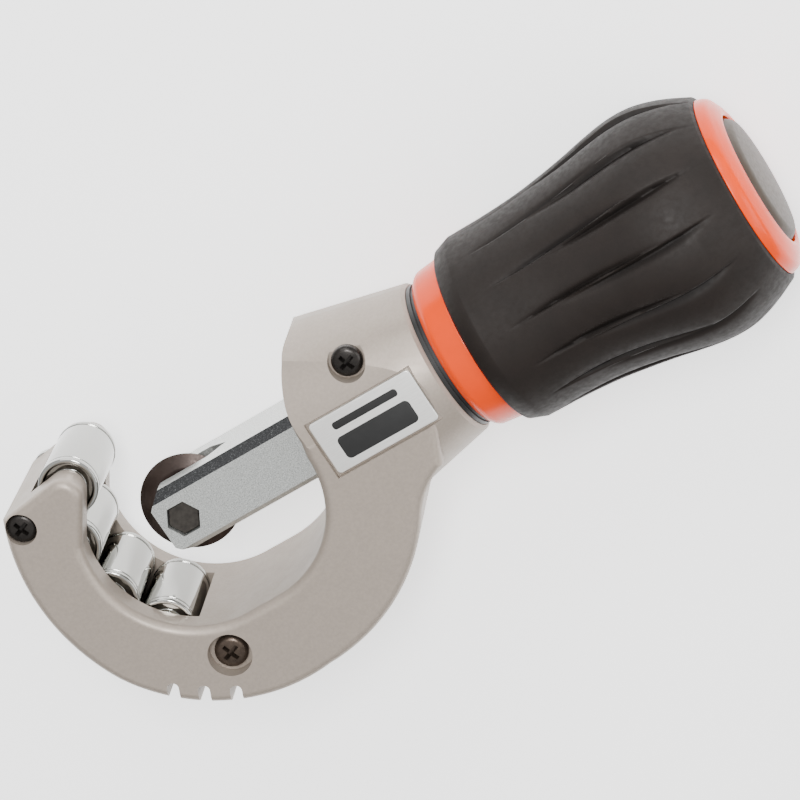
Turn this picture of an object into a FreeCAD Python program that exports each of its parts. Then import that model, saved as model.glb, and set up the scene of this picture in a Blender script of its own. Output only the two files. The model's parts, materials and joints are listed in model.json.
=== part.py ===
"""Telescopic pipe cutter, 3 to 35 mm tube, as an assembly of separate pieces.

Frame of the model: the origin is the centre of the throat at half thickness, +X runs along the
knob's axis away from the jaw, +Y lies in the plane of the C frame towards its open side, and +Z
is the thickness. The cutter lies on its side, its flat face on the plane Z = -frame_half.
"""
import FreeCAD, Part
import math
import os

import Sketcher
from FreeCAD import Placement, Rotation, Vector

# Driving dimensions, in millimetres. Words that end in _x, _y and _z are places on the axes.
SIZES = {
    # throat, C frame and barrel
    "frame_half": 15.8,
    "pocket_half": 10.05,
    "pocket_back": 29.8,
    "edge_round": 1.6,
    "mouth_x": 26.4,
    "barrel_front": 21.5,
    "barrel_end": 55.1,
    "barrel_narrow": 15.2,
    "tube_height": 24.0,
    "tube_sink": 0.1,
    "nose_x": 31.4,
    "nose_y": 17.0,
    "nose_top_x": 34.8,
    "nose_top_y": 19.9,
    "nose_round": 26.0,
    "nose_corner": 4.0,
    # slide, its channel and its fork
    "slide_front": -6.3,
    "slide_tail": 56.6,
    "slide_half_y": 6.5,
    "slide_half_z": 8.9,
    "slide_bevel_y": 1.5,
    "slide_bevel_z": 2.7,
    "slide_nose": 2.4,
    "slide_gap": 0.12,
    "fork_half": 2.5,
    "fork_end": 6.6,
    "fork_point": 10.4,
    "wheel_slot_half": 2.6,
    "wheel_slot_end": 39.0,
    "wheel_room": 10.1,
    # cutting wheel and its pin
    "wheel_x": -1.8,
    "wheel_radius": 9.5,
    "wheel_hub_half": 2.3,
    "wheel_hub": 4.6,
    "wheel_web_half": 1.2,
    "wheel_bevel": 7.2,
    "axle_radius": 2.4,
    "axle_fit": 0.05,
    "hex_radius": 3.3,
    "hex_room": 3.5,
    "hex_floor": 5.4,
    "hex_height": 2.9,
    "clip_radius": 3.5,
    "clip_room": 3.7,
    "clip_height": 0.8,
    "clip_z": -8.4,
    # rollers and their pins
    "roller_radius": 5.65,
    "roller_half": 9.7,
    "roller_lip": 1.3,
    "roller_groove": 0.4,
    "roller_neck": 5.35,
    "roller_dish": 0.7,
    "roller_dish_in": 3.2,
    "roller_dish_out": 4.7,
    "roller_chamfer": 0.5,
    "roller_pin": 2.0,
    "roller_fit": 0.05,
    "pin_top": 13.0,
    "pin_length": 27.15,
    "outer_roller_x": -16.55,
    "outer_roller_y": 16.27,
    "inner_roller_x": -22.68,
    "inner_roller_y": 6.26,
    # keeper plate of the roller pins, in the far face
    "keeper_inner": 20.6,
    "keeper_outer": 29.2,
    "keeper_top": 17.9,
    "keeper_lug": 3.6,
    "keeper_thick": 1.4,
    "keeper_gap": 0.1,
    # frame screws
    "jaw_screw_x": -26.5,
    "jaw_screw_y": 15.2,
    "low_screw_x": -7.0,
    "low_screw_y": -25.2,
    "top_screw_x": 42.1,
    "top_screw_y": 11.6,
    "screw_shank": 1.9,
    "jaw_head": 2.85,
    "low_head": 3.2,
    "top_head": 2.9,
    "low_room": 4.2,
    "top_room": 3.5,
    "head_height": 2.0,
    "head_sink": 0.35,
    "low_sink": 1.1,
    "top_seat": 11.6,
    "top_end": -11.0,
    "drive_radius": 1.45,
    "drive_depth": 1.0,
    # badge plate
    "badge_x": 29.9,
    "badge_low": -5.4,
    "badge_length": 21.4,
    "badge_height": 10.8,
    "badge_thick": 0.8,
    "badge_sink": 1.35,
    "badge_margin": 0.45,
    # spigot of the frame and what the knob turns on
    "spigot_radius": 12.9,
    "spigot_end": 68.0,
    "ring_thick": 0.85,
    "ring_radius": 14.4,
    "washer_thick": 0.7,
    "washer_radius": 14.1,
    "washer_bore": 12.95,
    "snap_x": 65.0,
    "snap_width": 1.4,
    "snap_floor": 12.2,
    "snap_radius": 13.8,
    "snap_fit": 0.15,
    # knob core
    "collar_x": 56.7,
    "collar_front": 14.6,
    "collar_radius": 15.9,
    "collar_rear": 16.4,
    "collar_nose": 1.2,
    "grip_x": 62.8,
    "core_radius": 15.3,
    "core_bore": 12.95,
    "core_bore_end": 68.6,
    "snap_room": 0.2,
    "snap_room_radius": 14.2,
    "core_hollow": 12.2,
    "web_front": 88.4,
    "web_rear": 94.0,
    "ring_x": 117.1,
    "ring_wide": 17.6,
    "rim_x": 119.0,
    "rim_wide": 16.9,
    "lip_x": 120.2,
    "lip_wide": 14.7,
    "core_end": 120.5,
    "store_radius": 12.75,
    # grip sleeve outline: stations along X and radii
    "grip_nose": 64.6,
    "grip_nose_radius": 18.5,
    "grip_waist": 74.0,
    "grip_waist_radius": 18.7,
    "grip_rise": 90.0,
    "grip_rise_radius": 20.4,
    "grip_crown": 103.4,
    "grip_crown_radius": 22.75,
    "grip_fall": 112.3,
    "grip_fall_radius": 20.95,
    "grip_front_radius": 16.9,
    "grip_rear_radius": 18.1,
    # feed screw, its nut and the nut that anchors it in the knob
    "feed_radius": 3.7,
    "feed_tip": 40.3,
    "feed_chamfer": 0.8,
    "feed_fit": 0.05,
    "feed_room": 4.0,
    "feed_bore_start": 10.0,
    "feed_flange": 6.5,
    "feed_flange_thick": 1.8,
    "feed_end": 99.0,
    "nut_radius": 5.3,
    "nut_start": 46.6,
    "anchor_radius": 5.6,
    "anchor_thick": 3.6,
    # end cap, its O-ring and the spare wheel on its post
    "cap_radius": 12.55,
    "cap_plug": 12.3,
    "cap_start": 110.8,
    "cap_groove_start": 113.7,
    "cap_groove_end": 114.9,
    "cap_groove": 11.6,
    "cap_shoulder": 120.8,
    "cap_corner": 11.2,
    "cap_corner_x": 121.6,
    "cap_dome_round": 100.0,
    "cap_rim": 119.7,
    "cap_dome": 122.1,
    "cap_hollow": 10.0,
    "cap_floor": 118.6,
    "cap_ring_x": 114.3,
    "cap_ring_wire": 0.45,
    "cap_ring_radius": 12.1,
    "post_radius": 2.4,
    "post_start": 103.3,
    "spare_x": 106.3,
}

SEGMENT_END = 2
SEGMENT_START = 1

doc = FreeCAD.newDocument("pipe_cutter")
sheet = doc.addObject("Spreadsheet::Sheet", "Sizes")
for row, (word, value) in enumerate(SIZES.items(), start=1):
    sheet.set("A%d" % row, word)
    sheet.set("B%d" % row, str(value))
    sheet.setAlias("B%d" % row, word)
doc.recompute()


def number(formula):
    """Value of a sum of words and numbers, such as 'barrel_end + ring_thick'."""
    total = 0.0
    sign = 1.0
    for token in formula.split():
        if token in "+-":
            sign = 1.0 if token == "+" else -1.0
        else:
            total += sign * (SIZES[token] if token in SIZES else float(token))
            sign = 1.0
    return total


def cells(formula):
    """The same sum, written for the document with the sheet's cells."""
    return " ".join("Sizes." + token if token in SIZES else token for token in formula.split())


def bind(target, **properties):
    for name, formula in properties.items():
        target.setExpression(name.replace("__", "."), cells(formula))


def place(target, x="0", y="0", z="0", rotation=None):
    target.Placement = Placement(Vector(number(x), number(y), number(z)), rotation or Rotation())
    bind(target, Placement__Base__x=x, Placement__Base__y=y, Placement__Base__z=z)
    return target


def arc_between(start, end, radius):
    """Arc from start to end. A positive radius turns anticlockwise, a negative one clockwise."""
    chord = end - start
    reach = math.sqrt(max(radius * radius - chord.Length ** 2 / 4.0, 0.0))
    side = Vector(-chord.y, chord.x, 0).normalize() * math.copysign(reach, radius)
    centre = (start + end) * 0.5 + side
    first, last = (start, end) if radius > 0 else (end, start)
    angles = [math.atan2(point.y - centre.y, point.x - centre.x) for point in (first, last)]
    circle = Part.Circle(centre, Vector(0, 0, 1), abs(radius))
    return Part.ArcOfCircle(circle, angles[0], angles[1])


def outline(body, name, role, corners):
    """Closed sketch on an origin plane of its body, every corner tied to cells of the sheet.

    A corner is (x, y), reached by a line, or (x, y, radius), reached by an arc.
    """
    sketch = body.newObject("Sketcher::SketchObject", name)
    plane = next(item for item in body.Origin.OriginFeatures if item.Role == role)
    sketch.AttachmentSupport = [(plane, "")]
    sketch.MapMode = "FlatFace"
    points = [Vector(number(corner[0]), number(corner[1]), 0) for corner in corners]
    ends = []
    for index, corner in enumerate(corners):
        start = points[index - 1]
        end = points[index]
        if len(corner) == 2:
            sketch.addGeometry(Part.LineSegment(start, end))
            ends.append((SEGMENT_START, SEGMENT_END))
        else:
            sketch.addGeometry(arc_between(start, end, number(corner[2])))
            turned = number(corner[2]) < 0
            ends.append((SEGMENT_END, SEGMENT_START) if turned else (SEGMENT_START, SEGMENT_END))
    for index, corner in enumerate(corners):
        following = (index + 1) % len(corners)
        joint = (index, ends[index][1], following, ends[following][0])
        sketch.addConstraint(Sketcher.Constraint("Coincident", *joint))
        for kind, formula in zip(("DistanceX", "DistanceY"), corner[:2]):
            size = Sketcher.Constraint(kind, -1, 1, index, ends[index][1], number(formula))
            place_of = sketch.addConstraint(size)
            sketch.setExpression("Constraints[%d]" % place_of, cells(formula))
    return sketch


def body_with(name):
    body = doc.addObject("PartDesign::Body", name)
    body.Label = name
    return body


def padded(name, corners, depth, role="XY_Plane", midplane=True):
    """Solid of one outline, as thick as depth, half of it to each side if midplane is set."""
    body = body_with(name)
    pad = body.newObject("PartDesign::Pad", name + "_pad")
    pad.Profile = outline(body, name + "_outline", role, corners)
    pad.Midplane = midplane
    bind(pad, Length=depth)
    return body


def turned(name, corners, axis="H_Axis"):
    """Solid of revolution. H_Axis turns about X, V_Axis about the sketch's second axis."""
    body = body_with(name)
    turn = body.newObject("PartDesign::Revolution", name + "_turn")
    role = "XY_Plane" if axis == "H_Axis" else "XZ_Plane"
    sketch = outline(body, name + "_outline", role, corners)
    turn.Profile = sketch
    turn.ReferenceAxis = (sketch, [axis])
    turn.Angle = 360
    return body


ALONG_X = Rotation(Vector(0, 1, 0), 90)


def cylinder(name, radius, height, x="0", y="0", z="0", rotation=None):
    tool = doc.addObject("Part::Cylinder", name)
    bind(tool, Radius=radius, Height=height)
    return place(tool, x, y, z, rotation)


def block(name, length, width, height, x, y, z):
    """Box whose lowest corner is at x, y, z."""
    tool = doc.addObject("Part::Box", name)
    bind(tool, Length=length, Width=width, Height=height)
    return place(tool, x, y, z)


def hexagon(name, radius, height, x, y, z):
    tool = doc.addObject("Part::Prism", name)
    tool.Polygon = 6
    bind(tool, Circumradius=radius, Height=height)
    return place(tool, x, y, z)


def cut(name, base, tools):
    for index, tool in enumerate(tools):
        result = doc.addObject("Part::Cut", "%s_cut_%d" % (name, index))
        result.Base = base
        result.Tool = tool
        base = result
    base.Label = name
    return base


def fuse(name, shapes):
    result = doc.addObject("Part::MultiFuse", name)
    result.Shapes = shapes
    result.Label = name
    return result


def common(name, shapes):
    result = doc.addObject("Part::MultiCommon", name)
    result.Shapes = shapes
    return result


# The jaw's rounded tip, the corner behind it and the upper end of the throat's round part.
BOSS = 3.6
JAW_CORNER = (-28.7, 18.3)
THROAT_TOP = (-18.95, 6.4)


def tangent_point(point_x, point_y, side):
    """Where a line from a point touches the boss round the outer roller's axis at the jaw's tip."""
    boss_x = SIZES["outer_roller_x"]
    boss_y = SIZES["outer_roller_y"]
    distance = math.hypot(point_x - boss_x, point_y - boss_y)
    angle = math.atan2(point_y - boss_y, point_x - boss_x) + side * math.acos(BOSS / distance)
    return boss_x + BOSS * math.cos(angle), boss_y + BOSS * math.sin(angle)


# Corners of the C frame's side view, tied to cells of their own because most are free choices.
C_FRAME = [
    ("jaw_corner", *JAW_CORNER, None),
    ("jaw_foot", -27.9, -19.4, 41.3),
    ("belly", 8.0, -36.3, 35.9),
    ("heel", 37.9, -20.3, 39.0),
    ("neck", 46.8, -13.4, -17.0),
    ("flat_low", 50.2, -6.0, None),
    ("flat_high", 48.0, 3.0, None),
    ("mouth_high", 27.0, 3.0, None),
    ("mouth_low", 26.4, 0.0, None),
    ("throat_right", 6.4, -20.0, -20.0),
    ("throat_left", 0.0, -20.0, None),
    ("throat_top", *THROAT_TOP, -20.0),
    ("jaw_inside", *tangent_point(*THROAT_TOP, 1), None),
    ("jaw_apex", *tangent_point(*JAW_CORNER, -1), BOSS),
]


def corner_cells(table):
    """Puts a table of named corners on the sheet, and gives the corners that outline() takes."""
    corners = []
    line = len(SIZES) + 1
    for name, x, y, radius in table:
        words = []
        for suffix, value in (("_x", x), ("_y", y), ("_round", radius)):
            if value is None:
                continue
            word = name + suffix
            SIZES[word] = value
            sheet.set("A%d" % line, word)
            sheet.set("B%d" % line, str(value))
            sheet.setAlias("B%d" % line, word)
            words.append(word)
            line += 1
        corners.append(tuple(words))
    doc.recompute()
    return corners


def octagon(gap):
    """Cross-section of the slide, grown by a gap, as the section of its channel is."""
    flat_y = "slide_half_y + " + gap
    flat_z = "slide_half_z + " + gap
    bevel_y = flat_y + " - slide_bevel_y"
    bevel_z = flat_z + " - slide_bevel_z"
    return [(signed(a, sa), signed(b, sb)) for a, b, sa, sb in (
        (flat_y, bevel_z, 1, -1), (flat_y, bevel_z, 1, 1), (bevel_y, flat_z, 1, 1),
        (bevel_y, flat_z, -1, 1), (flat_y, bevel_z, -1, 1), (flat_y, bevel_z, -1, -1),
        (bevel_y, flat_z, -1, -1), (bevel_y, flat_z, 1, -1))]


def signed(formula, sign):
    """The formula, or its negative."""
    if sign > 0:
        return formula
    tokens = formula.split()
    if tokens[0] not in "+-":
        tokens.insert(0, "+")
    flipped = ["-" if token == "+" else "+" if token == "-" else token for token in tokens]
    return " ".join(flipped)


def tube(name, outer, inner, x, length):
    """Ring round the X axis."""
    wall = cylinder(name + "_outer", outer, length, x, rotation=ALONG_X)
    bore = cylinder(name + "_bore", inner, length + " + 2", x + " - 1", rotation=ALONG_X)
    return cut(name, wall, [bore])


def screw(name, x, y, head, seat, end):
    """Round-headed screw along Z with a cross recess in its head."""
    top = cylinder(name + "_head", head, "head_height", x, y, seat)
    shank = cylinder(name + "_shank", "screw_shank", seat + " " + signed(end, -1), x, y, end)
    whole = fuse(name + "_whole", [top, shank])
    floor = seat + " + head_height - drive_depth"
    half_arm = 0.32
    slots = []
    for index, (along, across) in enumerate((("drive_radius", half_arm), (half_arm, "drive_radius"))):
        length = "%s + %s" % (along, along)
        width = "%s + %s" % (across, across)
        slots.append(block("%s_slot_%d" % (name, index), length, width, "drive_depth + 1",
                           "%s - %s" % (x, along), "%s - %s" % (y, across), floor))
    return cut(name, whole, slots)


def hole(name, x, y, radius, bottom, top):
    return cylinder(name, radius, top + " " + signed(bottom, -1), x, y, bottom)


ROLLERS = (
    ("outer_roller_x", "outer_roller_y"),
    ("inner_roller_x", "inner_roller_y"),
    ("inner_roller_x", "- inner_roller_y"),
    ("outer_roller_x", "- outer_roller_y"),
)


def round_rims(body):
    """Rounds the outline of a plate's near face, then of its far face."""
    for side in (1, -1):
        doc.recompute()
        base = body.Tip
        rims = ["Edge%d" % (index + 1) for index, edge in enumerate(base.Shape.Edges)
                if min(side * vertex.Z for vertex in edge.Vertexes) > SIZES["frame_half"] - 0.01]
        rounded = body.newObject("PartDesign::Fillet", body.Label + "_rim")
        rounded.Base = (base, rims)
        bind(rounded, Radius="edge_round")
    doc.recompute()


def elliptic_tube():
    """Bar along the knob's axis whose section is an ellipse, as thick as the plate and taller."""
    rim = doc.addObject("Part::Ellipse", "tube_rim")
    bind(rim, MajorRadius="tube_height", MinorRadius="frame_half - tube_sink")
    place(rim, "mouth_x - 1", rotation=Rotation(Vector(1, 1, 1), 120))
    tube = doc.addObject("Part::Extrusion", "barrel_tube")
    tube.Base = rim
    tube.DirMode = "Custom"
    tube.Dir = Vector(1, 0, 0)
    tube.Solid = True
    bind(tube, LengthFwd="barrel_end - mouth_x + 2")
    return tube


def frame_casting():
    """C plate with rounded rims, and the barrel that flares out of it and ends in the spigot."""
    plate = padded("c_plate", corner_cells(C_FRAME), "frame_half + frame_half")
    doc.recompute()
    round_rims(plate)
    cone = turned("barrel_cone", [
        ("mouth_x", "0"), ("mouth_x", "barrel_front"), ("barrel_end - 0.6", "barrel_narrow"),
        ("barrel_end", "barrel_narrow - 0.6"), ("barrel_end", "0")])
    side_view = padded("barrel_side", [
        ("mouth_x", "- barrel_front"), ("mouth_x", "0"), ("mouth_high_x", "mouth_high_y"),
        ("nose_x", "nose_y", "- nose_round"), ("nose_top_x", "nose_top_y", "- nose_corner"),
        ("barrel_end + 1", "nose_top_y"), ("barrel_end + 1", "- barrel_front")],
        "frame_half + frame_half")
    round_rims(side_view)
    spigot = cylinder("spigot", "spigot_radius", "spigot_end - barrel_end + 2", "barrel_end - 2",
                      rotation=ALONG_X)
    return fuse("casting", [plate, common("barrel", [cone, elliptic_tube(), side_view]), spigot])


# The sector the rollers run in, in degrees from +X about the throat's centre.
POCKET_START = 106.0
POCKET_SWEEP = 135.0


def roller_pocket():
    """Sector that the rollers run in, open to the throat and at the jaw's tip."""
    sector = cylinder("pocket_sector", "pocket_back", "pocket_half + pocket_half",
                      z="- pocket_half", rotation=Rotation(Vector(0, 0, 1), POCKET_START))
    sector.Angle = POCKET_SWEEP
    return sector


# Round ends of the three notches in the lower rim, their half width and their lean in degrees.
NOTCHES = ((-20.1, -25.6), (-15.3, -28.9), (-10.1, -31.9))
NOTCH_HALF = 1.15
NOTCH_LEAN = -24.8
NOTCH_DEPTH = 8.0


def notches():
    """Three parallel arched grooves across the C frame's lower rim."""
    cutters = []
    lean = Rotation(Vector(0, 0, 1), NOTCH_LEAN)
    low = -SIZES["frame_half"] - 1
    for index, (x, y) in enumerate(NOTCHES):
        end = doc.addObject("Part::Cylinder", "notch_end_%d" % index)
        end.Radius = NOTCH_HALF
        bind(end, Height="frame_half + frame_half + 2")
        end.Placement = Placement(Vector(x, y, low), Rotation())
        run = doc.addObject("Part::Box", "notch_run_%d" % index)
        run.Length = 2 * NOTCH_HALF
        run.Width = NOTCH_DEPTH
        bind(run, Height="frame_half + frame_half + 2")
        corner = Vector(x, y, low) + lean.multVec(Vector(-NOTCH_HALF, -NOTCH_DEPTH, 0))
        run.Placement = Placement(corner, lean)
        cutters += [end, run]
    return cutters


# The sector the keeper plate covers, and the two screws that hold it.
KEEPER_START = 131.0
KEEPER_SWEEP = 118.0
KEEPER_SCREWS = (("jaw_screw_x", "jaw_screw_y"), ("low_screw_x", "low_screw_y"))


def keeper_blank(name, margin, thickness, z):
    """Arc-shaped plate over the roller pins' ends, with a lug round each of two screws."""
    sector = cylinder(name + "_sector", "keeper_outer + " + margin, thickness, z=z,
                      rotation=Rotation(Vector(0, 0, 1), KEEPER_START))
    sector.Angle = KEEPER_SWEEP
    inner = cylinder(name + "_inner", "keeper_inner - " + margin, thickness + " + 2",
                     z=z + " - 1")
    above = block(name + "_above", "40", "20", thickness + " + 2", "- 40",
                  "keeper_top + " + margin, z + " - 1")
    arc = cut(name + "_arc", sector, [inner, above])
    lugs = [cylinder(name + "_lug_%d" % index, "keeper_lug + " + margin, thickness, x, y, z)
            for index, (x, y) in enumerate(KEEPER_SCREWS)]
    return fuse(name + "_blank", [arc] + lugs)


def make_frame():
    far = "- frame_half"
    cutters = [roller_pocket()]
    channel = padded("channel", octagon("slide_gap"), "spigot_end", "YZ_Plane", midplane=False)
    cutters.append(place(channel, "mouth_x - 10"))
    cutters.append(block("wheel_slot", "wheel_slot_end - mouth_x + 10",
                         "wheel_room + wheel_room", "wheel_slot_half + wheel_slot_half",
                         "mouth_x - 10", "- wheel_room", "- wheel_slot_half"))
    cutters.append(tube("snap_groove", "spigot_radius + 1", "snap_floor", "snap_x", "snap_width"))
    cutters += notches()
    cutters.append(keeper_blank("keeper_recess", "keeper_gap", "keeper_thick + keeper_gap + 1",
                                far + " - 1"))
    for index, (x, y) in enumerate(ROLLERS, start=1):
        cutters.append(hole("pin_hole_%d" % index, x, y, "roller_pin + 0.03",
                            far, "pin_top + 0.05"))
    shank_room = "screw_shank + 0.1"
    low_seat = "frame_half - low_sink - head_height"
    jaw_seat = "frame_half - head_sink - head_height"
    cutters.append(hole("jaw_hole", "jaw_screw_x", "jaw_screw_y", shank_room, far, "frame_half"))
    cutters.append(hole("jaw_room", "jaw_screw_x", "jaw_screw_y", "jaw_head + 0.15",
                        jaw_seat, "frame_half + 1"))
    cutters.append(hole("low_hole", "low_screw_x", "low_screw_y", shank_room, far, "frame_half"))
    cutters.append(hole("low_recess", "low_screw_x", "low_screw_y", "low_room",
                        low_seat, "frame_half + 1"))
    cutters.append(hole("top_hole", "top_screw_x", "top_screw_y", shank_room,
                        "top_end - 0.3", "frame_half"))
    cutters.append(hole("top_recess", "top_screw_x", "top_screw_y", "top_room",
                        "top_seat", "frame_half + 6"))
    cutters.append(block("badge_recess", "badge_length + badge_margin + badge_margin",
                         "badge_height + badge_margin + badge_margin", "badge_sink + 1",
                         "badge_x - badge_margin", "badge_low - badge_margin", "frame_half - badge_sink"))
    return cut("frame", frame_casting(), cutters)


def make_keeper():
    blank = keeper_blank("keeper", "0", "keeper_thick", "- frame_half")
    holes = [hole("keeper_hole_%d" % index, x, y, "screw_shank + 0.1", "- frame_half - 1",
                  "- frame_half + keeper_thick + 1") for index, (x, y) in enumerate(KEEPER_SCREWS)]
    return cut("pin_keeper", blank, holes)


def make_slide():
    length = "slide_tail - slide_front"
    bar = padded("slide_bar", octagon("0"), length, "YZ_Plane", midplane=False)
    place(bar, "slide_front")
    nose = "slide_front + slide_nose"
    low = "- slide_half_y"
    side = padded("slide_side", [
        ("slide_front", low + " + slide_nose"), (nose, low), ("slide_tail", low),
        ("slide_tail", "slide_half_y"), (nose, "slide_half_y"),
        ("slide_front", "slide_half_y - slide_nose")], "slide_half_z + slide_half_z")
    slot = padded("fork_slot", [
        ("slide_front - 1", "- fork_half"), ("fork_end", "- fork_half"), ("fork_point", "0"),
        ("fork_end", "fork_half"), ("slide_front - 1", "fork_half")],
        "slide_half_y + slide_half_y + 2", "XZ_Plane")
    bore = cylinder("feed_bore", "feed_room", "slide_tail - feed_bore_start + 1",
                    "feed_bore_start", rotation=ALONG_X)
    seat = cylinder("nut_seat", "nut_radius + 0.02", "slide_tail - nut_start + 1", "nut_start",
                    rotation=ALONG_X)
    axle = hole("axle_hole", "wheel_x", "0", "axle_radius + 0.03", "- slide_half_z", "slide_half_z")
    hexagon_room = hexagon("hex_room", "hex_room", "slide_half_z - hex_floor + 1",
                           "wheel_x", "0", "hex_floor")
    clip_room = hole("clip_room", "wheel_x", "0", "clip_room", "- slide_half_z - 1", "clip_z + 1")
    scoop = cylinder("wheel_relief", "7.2", "fork_half + fork_half + 3", "wheel_x + 10.5",
                     "- slide_half_y - 5.9", "- fork_half - 1.5")
    return cut("slide", common("slide_blank", [bar, side]),
               [slot, bore, seat, axle, hexagon_room, clip_room, scoop])


def wheel_outline():
    """Half section of a cutting wheel, as places along its axis and distances from it."""
    bore = "axle_radius + axle_fit"
    steps = [("wheel_hub_half", bore), ("wheel_hub_half", "wheel_hub"),
             ("wheel_web_half", "wheel_hub"), ("wheel_web_half", "wheel_bevel"),
             ("0", "wheel_radius")]
    return [(signed(a, -1), r) for a, r in steps[:-1]] + list(reversed(steps))


def roller_outline():
    """Half section of a roller with a ring at each end, set off by a fine groove."""
    end = "roller_half"
    ring = "roller_half - roller_lip"
    steps = [(end + " - roller_dish", "roller_dish_in"), (end + " - roller_dish", "roller_dish_out"),
             (end, "roller_dish_out"), (end, "roller_radius - roller_chamfer"),
             (end + " - roller_chamfer", "roller_radius"), (ring, "roller_radius"),
             (ring, "roller_neck"), (ring + " - roller_groove", "roller_neck"),
             (ring + " - roller_groove", "roller_radius")]
    inner = [(end, "roller_pin + roller_fit"), (end, "roller_dish_in")]
    half = inner + steps
    return [(signed(a, -1), r) for a, r in half] + list(reversed(half))


def swap(corners):
    return [(radius, along) for along, radius in corners]


def make_wheels():
    place(turned("cutting_wheel", swap(wheel_outline()), "V_Axis"), "wheel_x")
    place(turned("spare_wheel", wheel_outline()), "spare_x")
    head = hexagon("axle_head", "hex_radius", "hex_height", "wheel_x", "0", "hex_floor")
    shank = cylinder("axle_shank", "axle_radius", "hex_floor - clip_z + 1", "wheel_x", "0", "clip_z")
    fuse("wheel_axle", [head, shank])
    clip = cylinder("clip_disc", "clip_radius", "clip_height", "wheel_x", "0", "clip_z + 0.15")
    bore = cylinder("clip_bore", "axle_radius + 0.02", "clip_height + 2", "wheel_x", "0",
                    "clip_z - 0.85")
    cut("axle_clip", clip, [bore])


def make_rollers():
    for index, (x, y) in enumerate(ROLLERS, start=1):
        place(turned("roller_%d" % index, swap(roller_outline()), "V_Axis"), x, y)
        pin = cylinder("pin_%d" % index, "roller_pin", "pin_length", x, y, "pin_top - pin_length")
        pin.Label = "roller_pin_%d" % index


def make_fasteners():
    end = "- frame_half + 0.1"
    screw("jaw_screw", "jaw_screw_x", "jaw_screw_y", "jaw_head",
          "frame_half - head_sink - head_height", end)
    screw("lower_screw", "low_screw_x", "low_screw_y", "low_head",
          "frame_half - low_sink - head_height", end)
    screw("barrel_screw", "top_screw_x", "top_screw_y", "top_head", "top_seat", "top_end")
    block("badge", "badge_length", "badge_height", "badge_thick", "badge_x", "badge_low",
          "frame_half - badge_sink").Label = "badge_plate"


def make_knob():
    core = "core_radius"
    turned("knob_core", [
        ("collar_x", "core_bore"), ("collar_x", "collar_front"),
        ("collar_x + collar_nose", "collar_radius", "- 1.6"), ("grip_x", "collar_rear"),
        ("grip_x", core), ("ring_x", core), ("ring_x", "ring_wide"), ("rim_x", "rim_wide"),
        ("lip_x", "lip_wide", "- 3.2"), ("core_end", "store_radius"),
        ("web_rear", "store_radius"), ("web_rear", "feed_radius + 0.03"),
        ("web_front", "feed_radius + 0.03"), ("web_front", "core_hollow"),
        ("core_bore_end", "core_hollow"), ("core_bore_end", "core_bore"),
        ("snap_x + snap_width + snap_room", "core_bore"),
        ("snap_x + snap_width + snap_room", "snap_room_radius"),
        ("snap_x - snap_room", "snap_room_radius"), ("snap_x - snap_room", "core_bore")])
    turned("grip_sleeve", [
        ("grip_x + 0.02", core + " + 0.02"), ("grip_x + 0.02", "grip_front_radius"),
        ("grip_nose", "grip_nose_radius", "- 2.2"), ("grip_waist", "grip_waist_radius"),
        ("grip_rise", "grip_rise_radius", "90"), ("grip_crown", "grip_crown_radius", "- 60"),
        ("grip_fall", "grip_fall_radius", "- 24"), ("ring_x - 0.02", "grip_rear_radius", "- 12"),
        ("ring_x - 0.02", core + " + 0.02")])
    turned("feed_screw", [
        ("feed_tip", "0"), ("feed_tip", "feed_radius - feed_chamfer"),
        ("feed_tip + feed_chamfer", "feed_radius"),
        ("web_front - feed_flange_thick", "feed_radius"),
        ("web_front - feed_flange_thick", "feed_flange"), ("web_front", "feed_flange"),
        ("web_front", "feed_radius"), ("feed_end", "feed_radius"), ("feed_end", "0")])
    blank = hexagon("anchor_blank", "anchor_radius", "anchor_thick", "web_rear", "0", "0")
    blank.Placement = Placement(Vector(SIZES["web_rear"], 0, 0), ALONG_X)
    bore = cylinder("anchor_bore", "feed_radius + 0.02", "anchor_thick + 2", "web_rear - 1",
                    rotation=ALONG_X)
    cut("anchor_nut", blank, [bore])


def make_cap():
    turned("end_cap", [
        ("cap_start", "cap_hollow"), ("cap_start", "cap_plug"), ("cap_groove_start", "cap_plug"),
        ("cap_groove_start", "cap_groove"), ("cap_groove_end", "cap_groove"),
        ("cap_groove_end", "cap_plug"), ("cap_rim", "cap_plug"), ("cap_rim", "cap_radius"),
        ("cap_shoulder", "cap_radius"), ("cap_corner_x", "cap_corner", "- 1.3"),
        ("cap_dome", "0", "- cap_dome_round"), ("post_start", "0"), ("post_start", "post_radius"),
        ("cap_floor", "post_radius"), ("cap_floor", "cap_hollow")])
    ring = doc.addObject("Part::Torus", "cap_ring")
    bind(ring, Radius1="cap_ring_radius", Radius2="cap_ring_wire")
    place(ring, "cap_ring_x", rotation=ALONG_X)


def make_bearing():
    tube("barrel_ring", "ring_radius", "washer_bore", "barrel_end", "ring_thick")
    tube("thrust_washer", "washer_radius", "washer_bore", "barrel_end + ring_thick", "washer_thick")
    tube("retaining_ring", "snap_radius", "snap_floor + snap_fit", "snap_x", "snap_width")
    tube("feed_nut", "nut_radius", "feed_radius + feed_fit", "nut_start", "slide_tail - nut_start")


NODES = [
    "frame", "pin_keeper", "jaw_screw", "lower_screw", "barrel_screw", "badge_plate",
    "barrel_ring", "thrust_washer", "retaining_ring", "slide", "cutting_wheel", "wheel_axle",
    "axle_clip", "feed_nut", "knob_core", "grip_sleeve", "feed_screw", "anchor_nut", "end_cap",
    "cap_ring", "spare_wheel",
] + ["roller_%d" % index for index in range(1, 5)] + ["roller_pin_%d" % index for index in range(1, 5)]


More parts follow.
